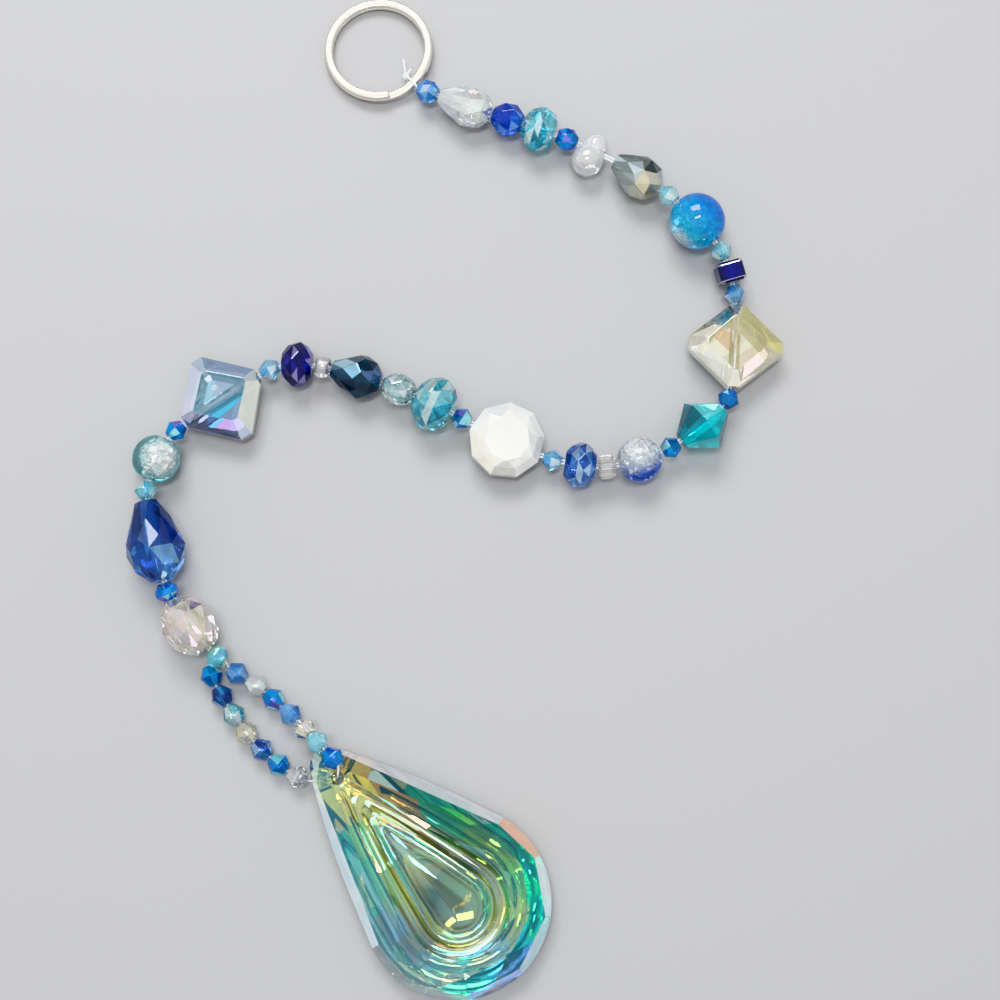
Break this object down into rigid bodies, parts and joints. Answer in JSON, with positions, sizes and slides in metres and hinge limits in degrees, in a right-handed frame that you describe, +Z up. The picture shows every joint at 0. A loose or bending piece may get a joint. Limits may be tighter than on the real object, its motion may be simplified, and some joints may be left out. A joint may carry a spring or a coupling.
{
  "type": "crystal suncatcher",
  "caption": "Strung faceted glass beads tied to a small split ring, parting at the far end into a loop that carries a large teardrop crystal prism; it lies in an S-curve.",
  "frame": {"origin": "on the surface the piece lies on, under the middle of its bounding box", "axes": "+Z up off the surface, +Y from the crystal drop's end towards the split ring's end, +X to the right of that way"},
  "size_m": [0.1134, 0.1768, 0.0103],
  "materials": {
    "clear": "polished clear crystal",
    "clear_rose": "polished clear crystal, faint rose coating",
    "clear_aurora": "polished clear crystal, iridescent coating",
    "light_sapphire": "polished light sapphire crystal",
    "sapphire": "polished sapphire crystal",
    "cobalt": "polished cobalt crystal",
    "cobalt_aurora": "polished cobalt crystal, iridescent coating",
    "light_blue": "polished light blue crystal",
    "pale_aqua": "polished pale aqua crystal",
    "aqua": "polished aqua crystal",
    "capri": "polished capri blue crystal",
    "turquoise": "polished turquoise crystal",
    "smoke": "polished smoky crystal",
    "montana": "polished dark blue crystal",
    "azure_crackle": "azure glass with inner crackle",
    "blue_white_crackle": "blue and white glass with inner crackle",
    "teal_white_crackle": "teal and white glass with inner crackle",
    "pearl": "frosted ivory glass, pearly",
    "ring_metal": "polished nickel-plated steel",
    "thread": "clear monofilament",
    "drop_crystal": "polished crystal, strong iridescent coating"
  },
  "bodies": {
    "root": {"split_ring": "ring_metal", "thread": "thread", "bead_01_light_sapphire_round": "light_sapphire", "bead_02_clear_teardrop": "clear_rose", "bead_03_cobalt_round": "cobalt", "bead_04_aqua_rondelle": "aqua", "bead_05_cobalt_aurora_round": "cobalt_aurora", "bead_06_clear_nugget": "clear", "bead_07_smoke_teardrop": "smoke", "bead_08_pale_aqua_bicone": "pale_aqua", "bead_09_azure_crackle_ball": "azure_crackle", "bead_10_pale_aqua_bicone": "pale_aqua", "bead_11_navy_cube": "cobalt", "bead_12_light_sapphire_bicone": "light_sapphire", "bead_13_clear_square": "clear_aurora", "bead_14_cobalt_aurora_bicone": "cobalt_aurora", "bead_15_turquoise_bicone": "turquoise", "bead_16_cobalt_bicone": "cobalt_aurora", "bead_17_blue_crackle_ball": "blue_white_crackle", "bead_18_clear_cube": "clear", "bead_19_sapphire_rondelle": "light_sapphire", "bead_20_light_blue_bicone": "light_blue", "bead_21_pearl_disc": "pearl", "bead_22_cobalt_bicone": "cobalt_aurora", "bead_23_aqua_rondelle": "aqua", "bead_24_clear_oval": "clear", "bead_25_montana_teardrop": "montana", "bead_26_clear_seed": "clear", "bead_27_cobalt_rondelle": "cobalt", "bead_28_light_blue_bicone": "light_blue", "bead_29_clear_square": "clear_aurora", "bead_30_cobalt_aurora_bicone": "cobalt_aurora", "bead_31_teal_crackle_ball": "teal_white_crackle", "bead_32_pale_aqua_bicone": "pale_aqua", "bead_33_sapphire_teardrop": "sapphire", "bead_34_cobalt_aurora_round": "cobalt_aurora", "bead_35_clear_oval": "clear_aurora", "bead_36_aqua_aurora_round": "pale_aqua", "loop_left_1_cobalt_aurora": "cobalt_aurora", "loop_left_2_sapphire": "sapphire", "loop_left_3_aqua": "aqua", "loop_left_4_clear_aurora": "clear_aurora", "loop_left_5_sapphire": "sapphire", "loop_left_6_capri": "capri", "loop_left_7_clear": "clear", "loop_right_1_light_sapphire": "light_sapphire", "loop_right_2_clear_rose": "clear_rose", "loop_right_3_cobalt_aurora": "cobalt_aurora", "loop_right_4_light_sapphire": "light_sapphire", "loop_right_5_clear_aurora": "clear_aurora", "loop_right_6_pale_aqua": "pale_aqua", "loop_right_7_cobalt": "cobalt_aurora", "crystal_drop": "drop_crystal"}
  },
  "joints": []
}
